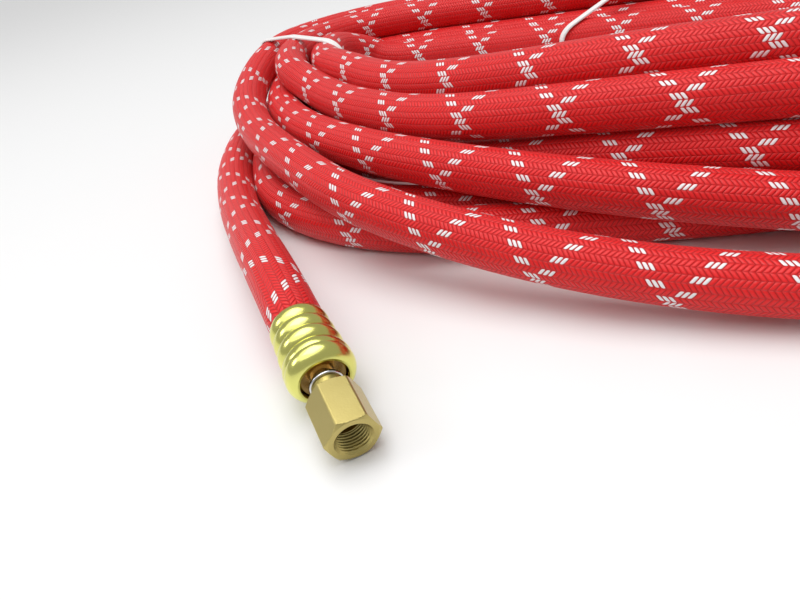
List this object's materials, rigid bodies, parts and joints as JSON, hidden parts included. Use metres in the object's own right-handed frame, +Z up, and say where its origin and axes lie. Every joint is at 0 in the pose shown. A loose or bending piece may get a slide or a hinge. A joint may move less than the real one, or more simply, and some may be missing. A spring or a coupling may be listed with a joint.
{
  "type": "coiled air hose",
  "caption": "Red braided air hose lying coiled and tied, with a crimped brass ferrule and a hexagonal swivel nut on each end.",
  "frame": {"origin": "centre of the lying coil on the floor, at the middle of the bounding box", "axes": "+Z up from the floor; +X along the long side of the coil; the lead fitting lies at -Y"},
  "size_m": [0.45, 0.3218, 0.0592],
  "materials": {
    "cover_red": "red plaited yarn with white tracer yarns",
    "liner_rubber": "matt",
    "ferrule_brass": "polished",
    "stem_brass": "machined",
    "nut_brass": "satin machined",
    "ring_steel": "bright plated",
    "tie_nylon": "smooth natural nylon"
  },
  "bodies": {
    "hose": {"lead_ferrule": "ferrule_brass", "lead_stem": "stem_brass", "lead_hose_liner": "liner_rubber", "lead_hose_cover": "cover_red", "tail_ferrule": "ferrule_brass", "tail_stem": "stem_brass", "tail_hose_liner": "liner_rubber", "tail_hose_cover": "cover_red", "hose_coil": "cover_red", "left_tie": "tie_nylon", "back_tie": "tie_nylon"},
    "lead_float": {"lead_thrust_ring": "ring_steel"},
    "lead_nut": {"lead_swivel_nut": "nut_brass"},
    "tail_float": {"tail_thrust_ring": "ring_steel"},
    "tail_nut": {"tail_swivel_nut": "nut_brass"}
  },
  "joints": [
    {"name": "lead_nut_float", "type": "slide", "parent": "hose", "child": "lead_float", "axis": [-0.6923, 0.7045, 0.1564], "range_m": [0, 0.0015]},
    {"name": "lead_nut_swivel", "type": "hinge", "parent": "lead_float", "child": "lead_nut", "pos_m": [-0.0578, -0.156, 0.00685], "axis": [0.6923, -0.7045, -0.1564], "continuous": true},
    {"name": "tail_nut_float", "type": "slide", "parent": "hose", "child": "tail_float", "axis": [0.6081, 0.7783, 0.1564], "range_m": [0, 0.0015]},
    {"name": "tail_nut_swivel", "type": "hinge", "parent": "tail_float", "child": "tail_nut", "pos_m": [0.0997, -0.156, 0.00685], "axis": [-0.6081, -0.7783, -0.1564], "continuous": true}
  ]
}
